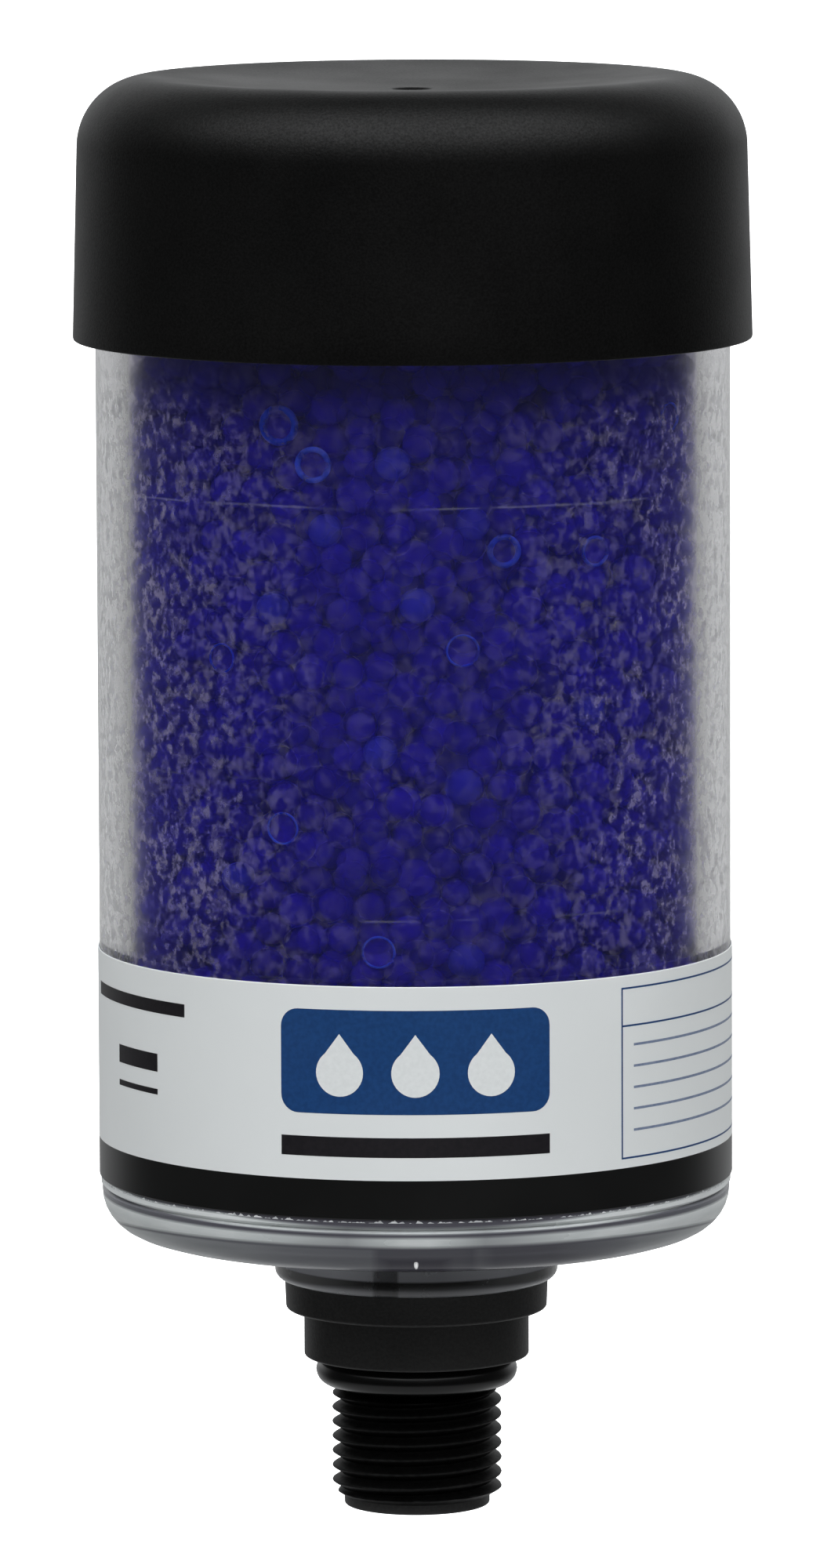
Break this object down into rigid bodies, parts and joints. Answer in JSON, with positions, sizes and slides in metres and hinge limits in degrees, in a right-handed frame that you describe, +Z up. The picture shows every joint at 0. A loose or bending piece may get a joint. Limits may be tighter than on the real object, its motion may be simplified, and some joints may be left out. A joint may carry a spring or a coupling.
{
  "type": "silica gel breather",
  "caption": "Screw-in desiccant breather: clear cylinder of blue silica beads, black dished cap, printed label, clear base with neck and a threaded black stem with sealing ring.",
  "frame": {"origin": "on the axis, at the upper end of the stem's thread, where the sealing ring meets the face of the port", "axes": "+Z up along the thread axis towards the cap, -Y to the front of the label, +X to its right"},
  "size_m": [0.083, 0.083, 0.1767],
  "materials": {
    "black_cap": "fine matte grain",
    "clear_tube": "clear, polished",
    "label_film": "printed film, white with a black stripe",
    "clear_base": "clear, moulded",
    "black_stem": "matte, slightly grained",
    "ring_rubber": "smooth",
    "white_pipe": "satin",
    "white_grid": "satin",
    "grey_foam": "open foam",
    "white_felt": "felt",
    "blue_silica": "translucent deep blue beads"
  },
  "bodies": {
    "root": {"cap": "black_cap", "tube": "clear_tube", "label": "label_film", "base": "clear_base", "threaded_stem": "black_stem", "sealing_ring": "ring_rubber", "standpipe": "white_pipe", "lower_grid": "white_grid", "lower_foam": "grey_foam", "lower_filter": "white_felt", "silica_bed": "blue_silica", "upper_filter": "white_felt", "upper_foam": "grey_foam", "upper_grid": "white_grid"}
  },
  "joints": []
}
